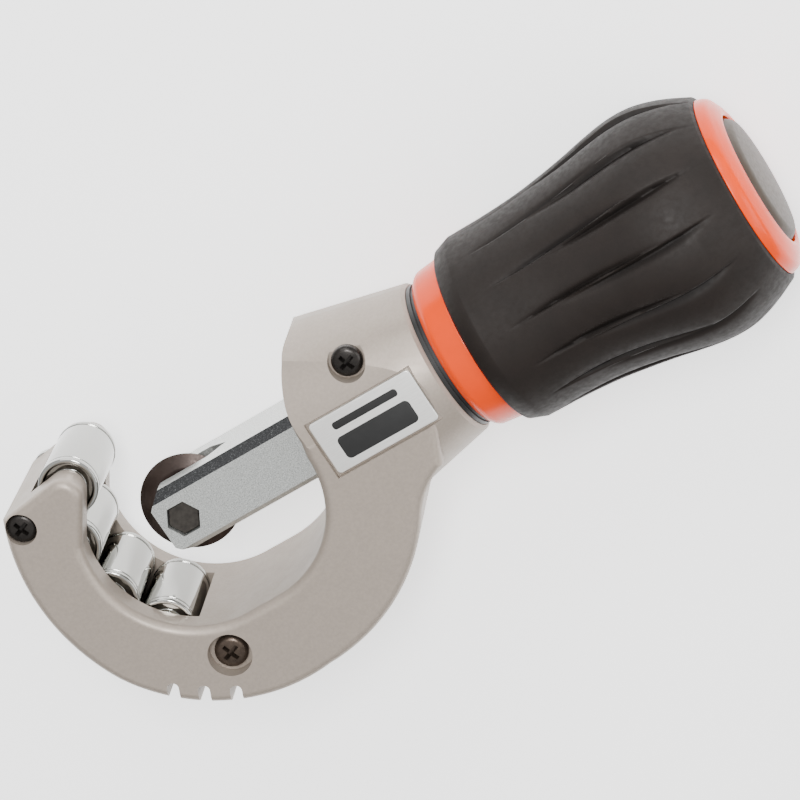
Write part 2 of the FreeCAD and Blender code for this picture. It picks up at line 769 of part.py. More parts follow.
def export():
    doc.recompute()
    failed = [item.Label for item in doc.Objects if {"Invalid", "Error"} & set(item.State)]
    if failed:
        raise RuntimeError("these objects failed: " + ", ".join(failed))
    os.makedirs("parts", exist_ok=True)
    for node in NODES:
        part = doc.getObjectsByLabel(node)[0]
        shape = part.Shape
        if shape.isNull() or not shape.isValid() or not shape.Solids:
            raise RuntimeError(node + " has no valid solid")
        shape.exportStep(os.path.join("parts", node + ".step"))
        print("%-16s solids %d volume %.1f" % (node, len(shape.Solids), shape.Volume))


make_frame()
make_keeper()
make_slide()
make_wheels()
make_rollers()
make_fasteners()
make_bearing()
make_knob()
make_cap()
export()
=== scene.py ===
"""Telescopic pipe cutter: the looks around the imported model. All lengths are in metres."""
import json
import math

import bmesh
import bpy
from mathutils import Matrix, Vector


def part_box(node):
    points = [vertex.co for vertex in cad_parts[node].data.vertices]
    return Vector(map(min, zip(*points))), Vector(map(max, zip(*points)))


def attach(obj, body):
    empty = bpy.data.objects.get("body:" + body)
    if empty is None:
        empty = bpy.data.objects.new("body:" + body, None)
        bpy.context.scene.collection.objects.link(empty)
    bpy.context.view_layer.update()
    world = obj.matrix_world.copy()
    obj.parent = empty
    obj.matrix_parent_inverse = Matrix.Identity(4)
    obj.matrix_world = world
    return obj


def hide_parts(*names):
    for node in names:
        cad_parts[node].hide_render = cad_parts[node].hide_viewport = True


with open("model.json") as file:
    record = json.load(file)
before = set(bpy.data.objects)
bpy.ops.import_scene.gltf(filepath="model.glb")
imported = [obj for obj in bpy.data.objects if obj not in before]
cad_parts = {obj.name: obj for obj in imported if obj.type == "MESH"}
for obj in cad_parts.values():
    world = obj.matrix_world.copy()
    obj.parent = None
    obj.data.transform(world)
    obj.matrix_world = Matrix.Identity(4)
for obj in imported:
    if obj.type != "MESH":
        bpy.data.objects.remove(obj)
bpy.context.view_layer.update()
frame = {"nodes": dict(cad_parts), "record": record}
NODES = frame["nodes"]
MM = 0.001

# The knob's axis is X. Places along it come from the frame.
COLLAR_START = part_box("knob_core")[0][0]
CORE_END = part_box("knob_core")[1][0]
GRIP_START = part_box("grip_sleeve")[0][0]
GRIP_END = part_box("grip_sleeve")[1][0]
GRIP_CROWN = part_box("grip_sleeve")[1][1]
CAP_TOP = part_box("end_cap")[1][0]
WHEEL_CENTRE = (Vector(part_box("cutting_wheel")[0]) + Vector(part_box("cutting_wheel")[1])) / 2
WHEEL_RADIUS = (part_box("cutting_wheel")[1][0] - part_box("cutting_wheel")[0][0]) / 2
BEVEL_NORMAL = Vector((0, 2.7, 1.5)).normalized()  # of the slide's long bevel, 1.5 by 2.7 mm
ROLLER_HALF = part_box("roller_1")[1][2]
ROLLER_RADIUS = (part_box("roller_1")[1][0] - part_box("roller_1")[0][0]) / 2


# ---------------------------------------------------------------- materials

class Surface:
    """A material under construction: a Principled shader with procedural colour, gloss and bump."""

    def __init__(self, name, colour, metallic=0.0, roughness=0.5, **sockets):
        self.material = bpy.data.materials.new(name)
        self.material.use_nodes = True
        self.nodes = self.material.node_tree.nodes
        self.links = self.material.node_tree.links
        self.shader = self.nodes["Principled BSDF"]
        self.colour = colour
        self.roughness = roughness
        self.set("Base Color", (*colour, 1.0))
        self.set("Metallic", metallic)
        self.set("Roughness", roughness)
        for socket, value in sockets.items():
            self.set(socket.replace("_", " "), value)
        self.place = self.nodes.new("ShaderNodeTexCoord").outputs["Object"]
        self.normal = None

    def set(self, socket, value):
        self.shader.inputs[socket].default_value = value

    def stretched(self, scale):
        """Object coordinates scaled by axis, for lines and brushing."""
        mapping = self.nodes.new("ShaderNodeMapping")
        mapping.inputs["Scale"].default_value = scale
        self.links.new(self.place, mapping.inputs["Vector"])
        return mapping.outputs["Vector"]

    def noise(self, grain, detail=3.0, vector=None, roughness=0.6):
        """Noise whose grains are about that many metres across."""
        texture = self.nodes.new("ShaderNodeTexNoise")
        texture.inputs["Scale"].default_value = 1.0 / grain
        texture.inputs["Detail"].default_value = detail
        texture.inputs["Roughness"].default_value = roughness
        self.links.new(vector or self.place, texture.inputs["Vector"])
        return texture.outputs["Fac"]

    def ramp(self, factor, stops, interpolation="LINEAR"):
        """Colour ramp. A stop is (position, colour)."""
        ramp = self.nodes.new("ShaderNodeValToRGB")
        ramp.color_ramp.interpolation = interpolation
        elements = ramp.color_ramp.elements
        while len(elements) < len(stops):
            elements.new(0.5)
        for element, (position, colour) in zip(elements, stops):
            element.position = position
            element.color = (*colour, 1.0)
        self.links.new(factor, ramp.inputs["Fac"])
        return ramp.outputs["Color"]

    def mottle(self, factor, amount, low=0.35, high=0.65):
        """Colour that swings by amount to each side of the base colour."""
        dark = tuple(channel * (1.0 - amount) for channel in self.colour)
        light = tuple(min(channel * (1.0 + amount), 1.0) for channel in self.colour)
        self.links.new(self.ramp(factor, [(low, dark), (high, light)]), self.shader.inputs["Base Color"])
        return self

    def gloss(self, factor, spread, low=0.35, high=0.65):
        """Roughness that swings by spread to each side of its value."""
        map_range = self.nodes.new("ShaderNodeMapRange")
        map_range.inputs["From Min"].default_value = low
        map_range.inputs["From Max"].default_value = high
        map_range.inputs["To Min"].default_value = self.roughness - spread
        map_range.inputs["To Max"].default_value = self.roughness + spread
        self.links.new(factor, map_range.inputs["Value"])
        self.links.new(map_range.outputs["Result"], self.shader.inputs["Roughness"])
        return self

    def bump(self, factor, height, strength=1.0):
        """Relief of that height in metres, on top of any relief given before."""
        bump = self.nodes.new("ShaderNodeBump")
        bump.inputs["Distance"].default_value = height
        bump.inputs["Strength"].default_value = strength
        self.links.new(factor, bump.inputs["Height"])
        if self.normal is not None:
            self.links.new(self.normal, bump.inputs["Normal"])
        self.normal = bump.outputs["Normal"]
        self.links.new(self.normal, self.shader.inputs["Normal"])
        return self

    def paint_shade_in_hollows(self, reach, depth):
        """Painted shade: darkens the colour of what lies within reach metres of other surfaces, where
        shade would fall.
        """
        cover = self.nodes.new("ShaderNodeAmbientOcclusion")
        cover.inputs["Distance"].default_value = reach
        cover.samples = 8
        # painted shade: the colour falls towards depth where other surfaces are near
        painted_shade = self.ramp(cover.outputs["AO"], [(0.35, (depth, depth, depth)), (0.95, (1, 1, 1))])
        mix = self.nodes.new("ShaderNodeMixRGB")
        mix.blend_type = "MULTIPLY"
        mix.inputs["Fac"].default_value = 1.0
        base = self.shader.inputs["Base Color"]
        self.links.new(base.links[0].from_socket, mix.inputs["Color1"])
        self.links.new(painted_shade, mix.inputs["Color2"])
        self.links.new(mix.outputs["Color"], base)
        return self


def cast_metal():
    s = Surface("cast_metal", (0.340, 0.290, 0.245), metallic=0.35, roughness=0.43)
    s.mottle(s.noise(0.6 * MM, 4.0), 0.05)
    s.gloss(s.noise(4 * MM), 0.04)
    s.bump(s.noise(0.32 * MM, 2.0), 0.012 * MM, 0.5)
    s.bump(s.noise(5 * MM, 2.0), 0.05 * MM, 0.25)
    return s.material


def chrome():
    s = Surface("chrome", (0.43, 0.43, 0.41), metallic=1.0, roughness=0.06)
    s.gloss(s.noise(3 * MM), 0.02)
    s.bump(s.noise(0.5 * MM, 2.0, s.stretched((1.0, 1.0, 12.0))), 0.002 * MM, 0.3)
    return s.material


def zinc_plate(name, shade):
    """Speckled plate: fine crystals, each a little lighter or darker and more or less glossy."""
    s = Surface(name, (shade, shade * 1.03, shade * 1.015), metallic=0.9, roughness=0.34)
    fine = s.noise(0.22 * MM, 6.0, roughness=0.75)
    s.mottle(fine, 0.22, 0.38, 0.62)
    s.gloss(s.noise(0.5 * MM, 4.0), 0.10)
    s.bump(fine, 0.012 * MM, 0.55)
    s.bump(s.noise(2.2 * MM, 2.0), 0.03 * MM, 0.2)
    return s.material


def slide_steel():
    """Speckled zinc plate, coarser and much darker on the long bevel that faces up and outwards, where
    the dark is a painted reflection.
    """
    s = Surface("zinc_slide", (0.46, 0.475, 0.465), metallic=0.8, roughness=0.36)
    fine = s.noise(0.24 * MM, 6.0, roughness=0.8)
    geometry = s.nodes.new("ShaderNodeNewGeometry")
    facing = s.nodes.new("ShaderNodeVectorMath")
    facing.operation = "DOT_PRODUCT"
    facing.inputs[1].default_value = BEVEL_NORMAL
    s.links.new(geometry.outputs["Normal"], facing.inputs[0])
    # painted reflection: faces turned like the long bevel get a dark colour for the dark they would
    # mirror
    painted_reflection_mask = s.ramp(facing.outputs["Value"], [(0.95, (0, 0, 0)), (0.975, (1, 1, 1))])
    light = s.ramp(fine, [(0.38, (0.31, 0.325, 0.31)), (0.60, (0.76, 0.775, 0.755))])
    # painted dark reflection on the bevel, with a few light specks
    dark = s.ramp(fine, [(0.40, (0.004, 0.004, 0.005)), (0.57, (0.02, 0.021, 0.022)),
                         (0.68, (0.22, 0.23, 0.23))])
    mix = s.nodes.new("ShaderNodeMixRGB")
    s.links.new(painted_reflection_mask, mix.inputs["Fac"])
    s.links.new(light, mix.inputs["Color1"])
    s.links.new(dark, mix.inputs["Color2"])
    s.links.new(mix.outputs["Color"], s.shader.inputs["Base Color"])
    s.gloss(s.noise(0.5 * MM, 4.0), 0.08)
    s.bump(fine, 0.014 * MM, 0.55)
    s.bump(s.noise(2.2 * MM, 2.0), 0.03 * MM, 0.2)
    return s.material


def dark_steel(name, colour, roughness=0.36, metallic=0.85):
    s = Surface(name, colour, metallic=metallic, roughness=roughness)
    s.mottle(s.noise(1.2 * MM, 5.0), 0.25)
    s.gloss(s.noise(0.9 * MM), 0.07)
    s.bump(s.noise(0.25 * MM, 3.0), 0.006 * MM, 0.5)
    return s.material


def wheel_steel():
    """Dark hardened steel with a fine grain."""
    s = Surface("tool_steel", (0.032, 0.021, 0.017), metallic=0.6, roughness=0.38)
    s.mottle(s.noise(2.5 * MM, 5.0), 0.15)
    s.gloss(s.noise(0.4 * MM), 0.08)
    s.bump(s.noise(0.2 * MM, 3.0), 0.005 * MM, 0.6)
    return s.material


def orange_plastic():
    s = Surface("orange_plastic", (0.80, 0.056, 0.0), roughness=0.24, Coat_Weight=0.08)
    s.set("Specular IOR Level", 0.25)
    s.set("Coat Roughness", 0.05)
    s.mottle(s.noise(6 * MM), 0.025)
    s.gloss(s.noise(2 * MM), 0.03)
    s.bump(s.noise(3 * MM, 2.0), 0.01 * MM, 0.2)
    return s.material


def grip_rubber():
    s = Surface("grip_rubber", (0.013, 0.0095, 0.008), roughness=0.58)
    s.set("Specular IOR Level", 0.22)
    s.mottle(s.noise(5 * MM, 4.0), 0.10)
    s.gloss(s.noise(1.1 * MM, 4.0), 0.07)
    s.bump(s.noise(0.28 * MM, 3.0), 0.014 * MM, 0.45)
    # painted shade in the creases and where the grip meets the core
    s.paint_shade_in_hollows(4 * MM, 0.12)
    return s.material


def moulded(name, colour, roughness=0.5):
    s = Surface(name, colour, roughness=roughness)
    s.mottle(s.noise(3 * MM, 3.0), 0.08)
    s.gloss(s.noise(0.8 * MM), 0.05)
    s.bump(s.noise(0.3 * MM, 2.0), 0.010 * MM, 0.5)
    return s.material


def badge_metal():
    s = Surface("badge_metal", (0.86, 0.85, 0.82), metallic=0.55, roughness=0.34)
    brushing = s.noise(0.12 * MM, 4.0, s.stretched((0.04, 1.0, 1.0)))
    s.mottle(brushing, 0.06)
    s.gloss(brushing, 0.06)
    s.bump(brushing, 0.004 * MM, 0.5)
    return s.material


def bronze():
    s = Surface("bronze", (0.50, 0.33, 0.15), metallic=1.0, roughness=0.3)
    s.mottle(s.noise(2 * MM), 0.1)
    s.gloss(s.noise(1 * MM), 0.06)
    s.bump(s.noise(0.2 * MM, 2.0, s.stretched((6.0, 1.0, 1.0))), 0.006 * MM, 0.4)
    return s.material


MATERIALS = {
    "cast_metal": cast_metal(),
    "zinc_steel": zinc_plate("zinc_steel", 0.58),
    "zinc_slide": slide_steel(),
    "chrome_roller": chrome(),
    "black_steel": dark_steel("black_steel", (0.022, 0.019, 0.017), 0.30, 0.6),
    "bronze_steel": dark_steel("bronze_steel", (0.075, 0.055, 0.042), 0.32, 0.75),
    "badge_metal": badge_metal(),
    "black_ring": moulded("black_ring", (0.012, 0.012, 0.012), 0.4),
    "spring_steel": dark_steel("spring_steel", (0.18, 0.17, 0.16), 0.3, 0.95),
    "tool_steel": wheel_steel(),
    "dark_pin": dark_steel("dark_pin", (0.045, 0.040, 0.035), 0.42, 0.6),
    "bronze": bronze(),
    "orange_plastic": orange_plastic(),
    "grip_rubber": grip_rubber(),
    "thread_steel": dark_steel("thread_steel", (0.38, 0.37, 0.35), 0.28, 1.0),
    "cap_plastic": moulded("cap_plastic", (0.046, 0.033, 0.021), 0.5),
    "seal_rubber": moulded("seal_rubber", (0.015, 0.015, 0.015), 0.6),
}


# ---------------------------------------------------------------- mesh tools

def rounded(corners, steps=5):
    """Outline with its corners rounded. A corner is (along, radius) or (along, radius, round)."""
    points = []
    count = len(corners)
    for index, corner in enumerate(corners):
        here = Vector(corner[:2])
        size = corner[2] if len(corner) > 2 else 0.0
        if size == 0.0 or index in (0, count - 1):
            points.append(here)
            continue
        before = Vector(corners[index - 1][:2]) - here
        after = Vector(corners[index + 1][:2]) - here
        reach = min(size, 0.45 * before.length, 0.45 * after.length)
        start = here + before.normalized() * reach
        end = here + after.normalized() * reach
        for step in range(steps + 1):
            f = step / steps
            points.append(start * (1 - f) ** 2 + here * 2 * f * (1 - f) + end * f * f)
    return points


def plain_object(name, bm):
    """Object made of that mesh, with no material."""
    mesh = bpy.data.meshes.new(name)
    bmesh.ops.recalc_face_normals(bm, faces=bm.faces)
    bm.to_mesh(mesh)
    bm.free()
    piece = bpy.data.objects.new(name, mesh)
    bpy.context.collection.objects.link(piece)
    return piece


def smooth(mesh, angle=35.0):
    """Smooth shading, with edges sharper than the angle in degrees kept sharp."""
    mesh.polygons.foreach_set("use_smooth", [True] * len(mesh.polygons))
    mesh.set_sharp_from_angle(angle=math.radians(angle))


def mesh_object(name, bm, slot_name, body, replaced=(), smooth_angle=35.0):
    """Visible piece that rides on a body, and may stand in for CAD nodes."""
    piece = plain_object(name, bm)
    smooth(piece.data, smooth_angle)
    piece.data.materials.append(MATERIALS[slot_name])
    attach(piece, body)
    if replaced:
        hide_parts(*replaced)
    return piece


ALONG = {"X": (Vector((1, 0, 0)), Vector((0, 1, 0)), Vector((0, 0, 1))),
         "Z": (Vector((0, 0, 1)), Vector((1, 0, 0)), Vector((0, 1, 0)))}


def lathe_mesh(profile, axis="X", centre=(0, 0, 0), segments=128, bend=None):
    """Closed surface of revolution of a profile of (along, radius) points.

    A profile that starts and ends on the axis closes there; any other is a ring, joined end to start.
    bend(along, angle, radius) may change the radius of a point.
    """
    bm = bmesh.new()
    axle, first, second = ALONG[axis]
    centre = Vector(centre)
    rows = []
    for along, radius in profile:
        if radius < 1e-7:
            rows.append([bm.verts.new(centre + axle * along)])
            continue
        row = []
        for step in range(segments):
            angle = 2 * math.pi * step / segments
            reach = bend(along, angle, radius) if bend else radius
            spoke = first * math.cos(angle) + second * math.sin(angle)
            row.append(bm.verts.new(centre + axle * along + spoke * reach))
        rows.append(row)
    solid = len(rows[0]) == 1 and len(rows[-1]) == 1
    pairs = list(zip(rows, rows[1:])) + ([] if solid else [(rows[-1], rows[0])])
    for low, high in pairs:
        for step in range(segments):
            following = (step + 1) % segments
            corners = [low[step % len(low)], low[following % len(low)],
                       high[following % len(high)], high[step % len(high)]]
            unique = list(dict.fromkeys(corners))
            if len(unique) > 2:
                bm.faces.new(unique)
    return bm


def cut_with(piece, cutter):
    """Takes the cutter's solid out of the piece, for good, and deletes the cutter."""
    modifier = piece.modifiers.new("cut", "BOOLEAN")
    modifier.object = cutter
    modifier.solver = "EXACT"
    bpy.context.view_layer.update()
    evaluated = piece.evaluated_get(bpy.context.evaluated_depsgraph_get())
    mesh = bpy.data.meshes.new_from_object(evaluated)
    piece.modifiers.clear()
    piece.data = mesh
    smooth(mesh)
    bpy.data.objects.remove(cutter, do_unlink=True)


def join_rings(bm, rings):
    """Solid whose sides join rings of equal length, from the lowest to the highest."""
    for low, high in zip(rings, rings[1:]):
        for step in range(len(low)):
            following = (step + 1) % len(low)
            bm.faces.new((low[step], low[following], high[following], high[step]))
    bm.faces.new(list(reversed(rings[0])))
    bm.faces.new(rings[-1])


# ---------------------------------------------------------------- rollers and wheels

def mirrored(half):
    """Closed half section from one side's (along, radius, round) corners, listed from the bore out."""
    return [(-corner[0], *corner[1:]) for corner in half] + list(reversed(half))


def roller(index):
    """Chromed roller: a polished ring at each end, set off by a fine groove, and a dished face."""
    low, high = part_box("roller_%d" % index)
    centre = (Vector(low) + Vector(high)) / 2
    end = ROLLER_HALF
    ring = end - 1.25 * MM
    groove = 0.4 * MM
    bore = 2.05 * MM
    half = [
        (end - 0.1 * MM, bore), (end - 0.1 * MM, 3.1 * MM, 0.1 * MM),
        (end - 0.8 * MM, 3.3 * MM, 0.1 * MM), (end - 0.8 * MM, 4.55 * MM, 0.2 * MM),
        (end, 4.75 * MM, 0.25 * MM), (end, ROLLER_RADIUS, 0.55 * MM),
        (ring, ROLLER_RADIUS, 0.22 * MM), (ring - 0.05 * MM, ROLLER_RADIUS - 0.3 * MM, 0.1 * MM),
        (ring - groove, ROLLER_RADIUS - 0.3 * MM, 0.1 * MM),
        (ring - groove - 0.05 * MM, ROLLER_RADIUS - 0.06 * MM, 0.15 * MM),
    ]
    bm = lathe_mesh(rounded(mirrored(half), 4), "Z", centre, 96)
    mesh_object("chromed_roller_%d" % index, bm, "chrome_roller", "roller_%d_body" % index,
                ["roller_%d" % index], 50)


def wheel(name, axis, centre, body, node):
    """Cutting wheel: thick hub, thin disc with a shallow step, and a ground edge."""
    bore = 2.45 * MM
    half = [
        (2.3 * MM, bore), (2.3 * MM, 4.5 * MM, 0.35 * MM), (1.2 * MM, 4.7 * MM, 0.3 * MM),
        (1.2 * MM, 7.0 * MM, 0.3 * MM), (0.55 * MM, 8.5 * MM, 0.2 * MM),
        (0.03 * MM, WHEEL_RADIUS, 0.0),
    ]
    bm = lathe_mesh(rounded(mirrored(half), 3), axis, centre, 160)
    mesh_object(name, bm, "tool_steel", body, [node], 25)


# ---------------------------------------------------------------- knob

GRIP_OUTLINE = [  # (place along the grip from 0 to 1, radius in millimetres)
    (0.000, 16.9), (0.010, 17.7), (0.034, 18.45), (0.09, 18.62), (0.20, 18.72), (0.33, 19.15),
    (0.43, 19.85), (0.53, 20.75), (0.62, 21.75), (0.70, 22.45), (0.765, 22.6), (0.82, 22.25),
    (0.88, 21.3), (0.93, 20.2), (0.972, 19.1), (0.992, 18.55), (1.000, 17.9),
]
CREASES = 14
CREASE_HALVES = (  # start, end, widest at, half width and depth in mm, side of the sharp edge
    (0.11, 0.74, 0.44, 0.80, 0.95, 1.0),
    (0.36, 0.95, 0.74, 1.25, 1.30, -1.0),
)


def smooth_curve(table, x):
    """Catmull-Rom curve through a table of (x, y)."""
    last = len(table) - 1
    index = 0
    while index < last - 1 and x > table[index + 1][0]:
        index += 1
    x0, y0 = table[index]
    x1, y1 = table[index + 1]
    before = table[max(index - 1, 0)]
    after = table[min(index + 2, last)]
    slope0 = (y1 - before[1]) / max(x1 - before[0], 1e-9)
    slope1 = (after[1] - y0) / max(after[0] - x0, 1e-9)
    span = x1 - x0
    f = min(max((x - x0) / span, 0.0), 1.0)
    return (y0 * (1 + 2 * f) * (1 - f) ** 2 + y1 * f * f * (3 - 2 * f)
            + span * (slope0 * f * (1 - f) ** 2 - slope1 * f * f * (1 - f)))


def wobble(index, channel):
    """Small steady difference between creases, from -1 to 1."""
    return math.sin(index * 12.9898 + channel * 78.233 + 0.7)


def crease_depth(f, angle, radius):
    """Depth of the grip's lengthwise creases at a point, in metres.

    Each crease is two long lens-shaped grooves that overlap at mid-length, the front one sharp on
    one side and the rear one on the other, with soft flanks beyond them.
    """
    pitch = 2 * math.pi / CREASES
    turn = angle / pitch
    nearest = round(turn)
    depth = 0.0
    for offset in (-1, 0, 1):
        index = (nearest + offset) % CREASES
        centre = (nearest + offset) * pitch + 0.045 * wobble(index, 0)
        centre += 0.05 * (f - 0.5) * wobble(index, 1)
        across = (angle - centre) * radius
        for half, (start, end, widest, width, deep, side) in enumerate(CREASE_HALVES):
            start = start + 0.035 * wobble(index, 2 + half)
            end = end + 0.03 * wobble(index, 4 + half)
            if not start < f < end:
                continue
            rise = (f - start) / (widest - start) if f < widest else (end - f) / (end - widest)
            swell = math.sin(0.5 * math.pi * min(max(rise, 0.0), 1.0)) ** 1.3
            lens = width * MM * (0.35 + 0.65 * swell)
            shift = -side * 0.55 * lens
            u = side * (across - shift) / lens
            if u >= 0:
                shape = math.exp(-(u / 0.30) ** 2)
            else:
                shape = 0.68 * math.exp(-(u / 0.85) ** 2) + 0.32 * math.exp(-(u / 2.6) ** 2)
            depth += deep * MM * swell * shape
    return depth


def grip():
    """Rubber sleeve with creases, closed over its ends and along the core."""
    length = GRIP_END - GRIP_START
    rings = 230
    core = 15.35 * MM
    outside = []
    for step in range(rings + 1):
        f = step / rings
        f = 0.5 - 0.5 * math.cos(math.pi * f) if f < 0.06 or f > 0.94 else f
        radius = smooth_curve(GRIP_OUTLINE, f) * MM
        outside.append((GRIP_START + f * length, radius))
    profile = [(GRIP_START, core)] + sorted(outside) + [(GRIP_END, core)]

    def bend(along, angle, radius):
        if radius <= core + 1e-6:
            return radius
        f = (along - GRIP_START) / length
        return radius - crease_depth(f, angle, radius)

    bm = lathe_mesh(profile, "X", segments=560, bend=bend)
    mesh_object("rubber_grip", bm, "grip_rubber", "knob", ["grip_sleeve"], 60)


def knob_core():
    """Orange core: collar with a soft nose, tube under the grip, and a glossy rim round the cap."""
    bore = 12.95 * MM
    hollow = 12.2 * MM
    store = 12.75 * MM
    tube = 15.28 * MM
    screw_hole = 3.72 * MM
    bearing_end = 68.6 * MM
    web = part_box("feed_screw")[1][0] - 10.6 * MM
    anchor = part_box("anchor_nut")[0][0]
    corners = [
        (COLLAR_START, bore), (COLLAR_START, 14.75 * MM, 0.3 * MM),
        (COLLAR_START + 1.1 * MM, 15.85 * MM, 1.3 * MM), (GRIP_START, 16.4 * MM, 0.35 * MM),
        (GRIP_START, tube), (GRIP_END + 0.01 * MM, tube),
        (GRIP_END + 0.01 * MM, 17.65 * MM, 0.35 * MM), (GRIP_END + 1.9 * MM, 17.05 * MM, 1.1 * MM),
        (GRIP_END + 3.0 * MM, 14.9 * MM, 0.9 * MM), (CORE_END, 13.6 * MM, 0.3 * MM),
        (CORE_END - 0.15 * MM, store, 0.35 * MM), (anchor, store), (anchor, screw_hole),
        (web, screw_hole), (web, hollow), (bearing_end, hollow), (bearing_end, bore),
    ]
    bm = lathe_mesh(rounded(corners, 6), "X", segments=192)
    mesh_object("orange_core", bm, "orange_plastic", "knob", ["knob_core"], 40)


def end_cap():
    """Grey cap: a low dome with a rounded shoulder, on a plug that is hollow inside."""
    top = CAP_TOP
    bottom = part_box("end_cap")[0][0]
    plug = bottom + 7.5 * MM
    post = 2.4 * MM
    corners = [
        (top, 0.0), (top - 0.10 * MM, 4 * MM, 2 * MM), (top - 0.42 * MM, 8 * MM, 2 * MM),
        (top - 0.85 * MM, 11.3 * MM, 1.2 * MM), (top - 2.2 * MM, 12.3 * MM, 0.9 * MM),
        (plug + 8.4 * MM, 12.3 * MM, 0.2 * MM), (plug + 3.2 * MM, 12.0 * MM, 0.2 * MM),
        (plug, 12.0 * MM), (plug, 10 * MM), (top - 3.5 * MM, 10 * MM),
        (top - 3.5 * MM, post), (bottom, post, 0.5 * MM), (bottom, 0.0),
    ]
    bm = lathe_mesh(rounded(corners, 6), "X", segments=160)
    mesh_object("grey_cap", bm, "cap_plastic", "cap", ["end_cap"], 40)


# ---------------------------------------------------------------- screws, badge and pins

def screw_head(name, node, slot_name, recess):
    """Domed screw head with a cross of that reach cut into it, on a plain shank."""
    low, high = (Vector(corner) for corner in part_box(node))
    centre = (low + high) / 2
    head = (high.x - low.x) / 2
    top = high.z
    seat = top - 2.0 * MM
    shank = 1.9 * MM
    corners = [
        (low.z, 0.0), (low.z, shank, 0.3 * MM), (seat, shank),
        (seat, head, 0.15 * MM), (top - 0.75 * MM, head, 0.4 * MM),
        (top - 0.22 * MM, head * 0.8, 0.6 * MM), (top, head * 0.35, 0.8 * MM), (top, 0.0),
    ]
    bm = lathe_mesh(rounded(corners, 5), "Z", (centre.x, centre.y, 0), 96)
    piece = mesh_object(name, bm, slot_name, "frame", [node], 40)
    half = 0.40 * MM
    tilt = 0.35
    cross = []
    for quarter in range(4):
        turn = Matrix.Rotation(math.pi / 2 * quarter + tilt, 2)
        for corner in ((recess, half), (half, half)):
            cross.append(turn @ Vector(corner))
        cross.append(turn @ Vector((half, recess)))
    arms = bmesh.new()
    rows = []
    for reach, height in ((0.62, top - 1.5 * MM), (1.0, top - 0.15 * MM), (1.06, top + 0.5 * MM)):
        rows.append([arms.verts.new((centre.x + reach * point.x, centre.y + reach * point.y, height))
                     for point in cross])
    join_rings(arms, rows)
    cut_with(piece, plain_object("cross", arms))


def rounded_rectangle(centre, size, corner, steps=8):
    """Points round a rectangle with rounded corners, anticlockwise."""
    points = []
    for quarter, (sx, sy) in enumerate(((1, 1), (-1, 1), (-1, -1), (1, -1))):
        middle = Vector((centre.x + sx * (size[0] / 2 - corner), centre.y + sy * (size[1] / 2 - corner)))
        for step in range(steps + 1):
            angle = math.pi / 2 * (quarter + step / steps)
            points.append(middle + corner * Vector((math.cos(angle), math.sin(angle))))
    return points


def tablet(name, centre, size, corner, bottom, top, edge, slot_name, body, replaced=()):
    """Thin plate with rounded corners and a rounded upper edge."""
    bm = bmesh.new()
    levels = [(0.0, bottom), (0.0, top - edge)]
    for step in range(1, 5):
        angle = math.pi / 2 * step / 4
        levels.append((edge * (1 - math.cos(angle)), top - edge + edge * math.sin(angle)))
    rows = []
    for inset, height in levels:
        shape = (size[0] - 2 * inset, size[1] - 2 * inset)
        outline = rounded_rectangle(centre, shape, max(corner - inset, 0.05 * MM))
        rows.append([bm.verts.new((point.x, point.y, height)) for point in outline])
    join_rings(bm, rows)
    mesh_object(name, bm, slot_name, body, replaced, 40)


def badge():
    """Brushed badge plate with a plain dark inlay and a bar. It carries no mark and no lettering."""
    low, high = (Vector(corner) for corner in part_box("badge_plate"))
    centre = (low + high) / 2
    size = (high.x - low.x, high.y - low.y)
    tablet("badge", centre, size, 0.8 * MM, low.z, high.z, 0.2 * MM, "badge_metal", "frame",
           ["badge_plate"])
    lift = 0.03 * MM
    inlay = Vector((centre.x, centre.y - 1.55 * MM))
    tablet("badge_inlay", inlay, (15.2 * MM, 4.6 * MM), 1.0 * MM, high.z - 0.1 * MM,
           high.z + lift, 0.02 * MM, "black_ring", "frame")
    bar = Vector((centre.x, centre.y + 2.9 * MM))
    tablet("badge_bar", bar, (13.6 * MM, 1.5 * MM), 0.6 * MM, high.z - 0.1 * MM,
           high.z + lift, 0.02 * MM, "black_ring", "frame")


def hexagon_pin():
    """Wheel's pin: a hexagonal head with a faint dome and broken corners, and a round shank."""
    low, high = (Vector(corner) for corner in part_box("wheel_axle"))
    centre = (low + high) / 2
    head = 3.3 * MM
    seat = 5.4 * MM
    pin = 2.4 * MM
    shank = [(low.z, 0.0), (low.z, pin, 0.3 * MM), (seat, pin), (seat, 0.0)]
    bm = lathe_mesh(rounded(shank, 3), "Z", (centre.x, centre.y, 0), 64)
    rows = []
    for reach, height in ((1.0, seat), (1.0, high.z - 0.28 * MM), (0.975, high.z - 0.12 * MM),
                          (0.92, high.z - 0.02 * MM), (0.5, high.z)):
        rows.append([bm.verts.new((centre.x + head * reach * math.cos(math.pi / 3 * step),
                                   centre.y + head * reach * math.sin(math.pi / 3 * step), height))
                     for step in range(6)])
    join_rings(bm, rows)
    mesh_object("hexagon_pin", bm, "dark_pin", "slide", ["wheel_axle"], 25)


# ---------------------------------------------------------------- CAD nodes that stay

def finish_cad_nodes():
    """Each CAD node that still shows gets its slot's procedural material, and softened edges."""
    slots = {row["node"]: row["material_slot"] for row in frame["record"]["subparts"]}
    slots["thrust_washer"] = "black_ring"  # painted shade: the washer is made black to stand for the shade in the gap between barrel and knob
    for name, node in NODES.items():
        for material_slot in node.material_slots:
            material_slot.material = MATERIALS[slots[name]]
    for name, width in (("frame", 0.35 * MM), ("slide", 0.22 * MM), ("pin_keeper", 0.15 * MM)):
        bevel = NODES[name].modifiers.new("edges", "BEVEL")
        bevel.width = width
        bevel.segments = 2
        bevel.limit_method = "ANGLE"
        bevel.angle_limit = math.radians(40)
        bevel.harden_normals = True


# ---------------------------------------------------------------- studio

SENSOR_WIDTH = 36.0
CAMERA_PLACE = Vector((197.92, 148.96, 554.48)) * MM
CAMERA_RIGHT = Vector((0.84050, -0.53451, -0.08869))
CAMERA_UP = Vector((0.47506, 0.80572, -0.35374))
FOCAL_PER_WIDTH = 4.0612


